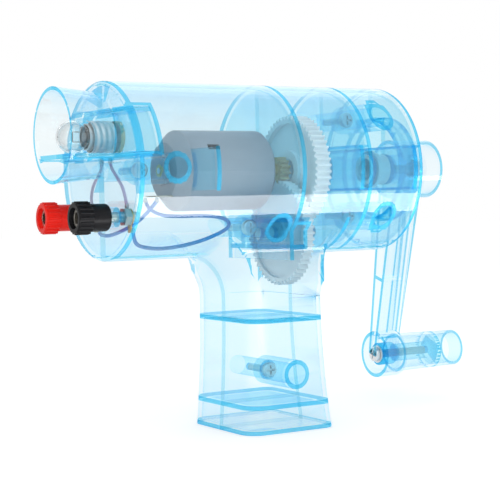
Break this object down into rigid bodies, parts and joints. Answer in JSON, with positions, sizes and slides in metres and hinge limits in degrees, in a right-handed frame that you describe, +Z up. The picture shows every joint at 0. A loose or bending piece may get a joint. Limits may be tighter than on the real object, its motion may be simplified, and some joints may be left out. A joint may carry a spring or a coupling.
{
  "type": "hand crank generator",
  "caption": "Hand-cranked DC generator in a see-through pistol-grip housing, with a geared crank, a shrouded lamp and red and black binding posts.",
  "frame": {"origin": "centre of the grip's flat base", "axes": "+Z up along the grip, +X along the barrel towards the crank, the lamp at -X, +Y towards the red binding post"},
  "size_m": [0.1829, 0.0612, 0.1203],
  "materials": {
    "clear_blue": "gloss, see-through light blue",
    "milky": "satin, milky translucent",
    "steel": "satin",
    "brass": "satin",
    "copper": "satin copper",
    "core_iron": "dull",
    "dark_plastic": "matte",
    "insulator": "matte fibre board",
    "lamp_glass": "clear",
    "red_plastic": "gloss",
    "black_plastic": "gloss",
    "blue_lead": "satin",
    "violet_lead": "satin"
  },
  "bodies": {
    "housing": {"near_shell": "clear_blue", "far_shell": "clear_blue", "housing_screws": "steel", "crank_bush_front": "milky", "crank_bush_rear": "milky", "motor_can": "steel", "motor_end_cap": "dark_plastic", "motor_bushes": "brass", "motor_magnets": "core_iron", "motor_brushes": "copper", "motor_terminals": "brass", "lamp_socket": "brass", "lamp_socket_base": "insulator", "lamp_contact": "brass", "bulb_glass": "lamp_glass", "bulb_base": "steel", "bulb_contact": "dark_plastic", "bulb_filament": "steel", "red_stud": "brass", "black_stud": "brass", "post_collars": "clear_blue", "post_nuts": "brass", "solder_lugs": "brass", "black_lead": "blue_lead", "red_lead": "blue_lead", "lamp_red_lead": "violet_lead", "lamp_black_lead": "violet_lead"},
    "crank": {"crank_shaft": "milky", "crank_gear": "milky", "crank_arm": "clear_blue", "crank_screw": "steel", "handle_screw": "steel", "handle_washer": "steel"},
    "handle": {"handle_grip": "clear_blue"},
    "idler": {"idler_pinion": "milky", "idler_gear": "milky"},
    "rotor": {"motor_shaft": "steel", "motor_pinion": "brass", "armature_core": "core_iron", "armature_windings": "copper", "commutator": "copper"},
    "red_knob": {"red_cap": "red_plastic"},
    "black_knob": {"black_cap": "black_plastic"}
  },
  "joints": [
    {"name": "crank_turn", "type": "hinge", "parent": "housing", "child": "crank", "pos_m": [0.06355, 0, 0.0903], "axis": [1, 0, 0], "continuous": true},
    {"name": "idler_turn", "type": "hinge", "parent": "housing", "child": "idler", "pos_m": [0.01255, 0, 0.0679], "axis": [1, 0, 0], "continuous": true},
    {"name": "rotor_turn", "type": "hinge", "parent": "housing", "child": "rotor", "pos_m": [-0.01645, 0, 0.0903], "axis": [1, 0, 0], "continuous": true},
    {"name": "handle_spin", "type": "hinge", "parent": "crank", "child": "handle", "pos_m": [0.08855, 0.02223, 0.01804], "axis": [1, 0, 0], "continuous": true},
    {"name": "red_knob_travel", "type": "slide", "parent": "housing", "child": "red_knob", "axis": [-1, 0, 0], "range_m": [0, 0.003]},
    {"name": "black_knob_travel", "type": "slide", "parent": "housing", "child": "black_knob", "axis": [-1, 0, 0], "range_m": [0, 0.003]}
  ],
  "couplings": [
    {"joint": "idler_turn", "follows": "crank_turn", "ratio": -5.4},
    {"joint": "rotor_turn", "follows": "crank_turn", "ratio": 23.4}
  ]
}
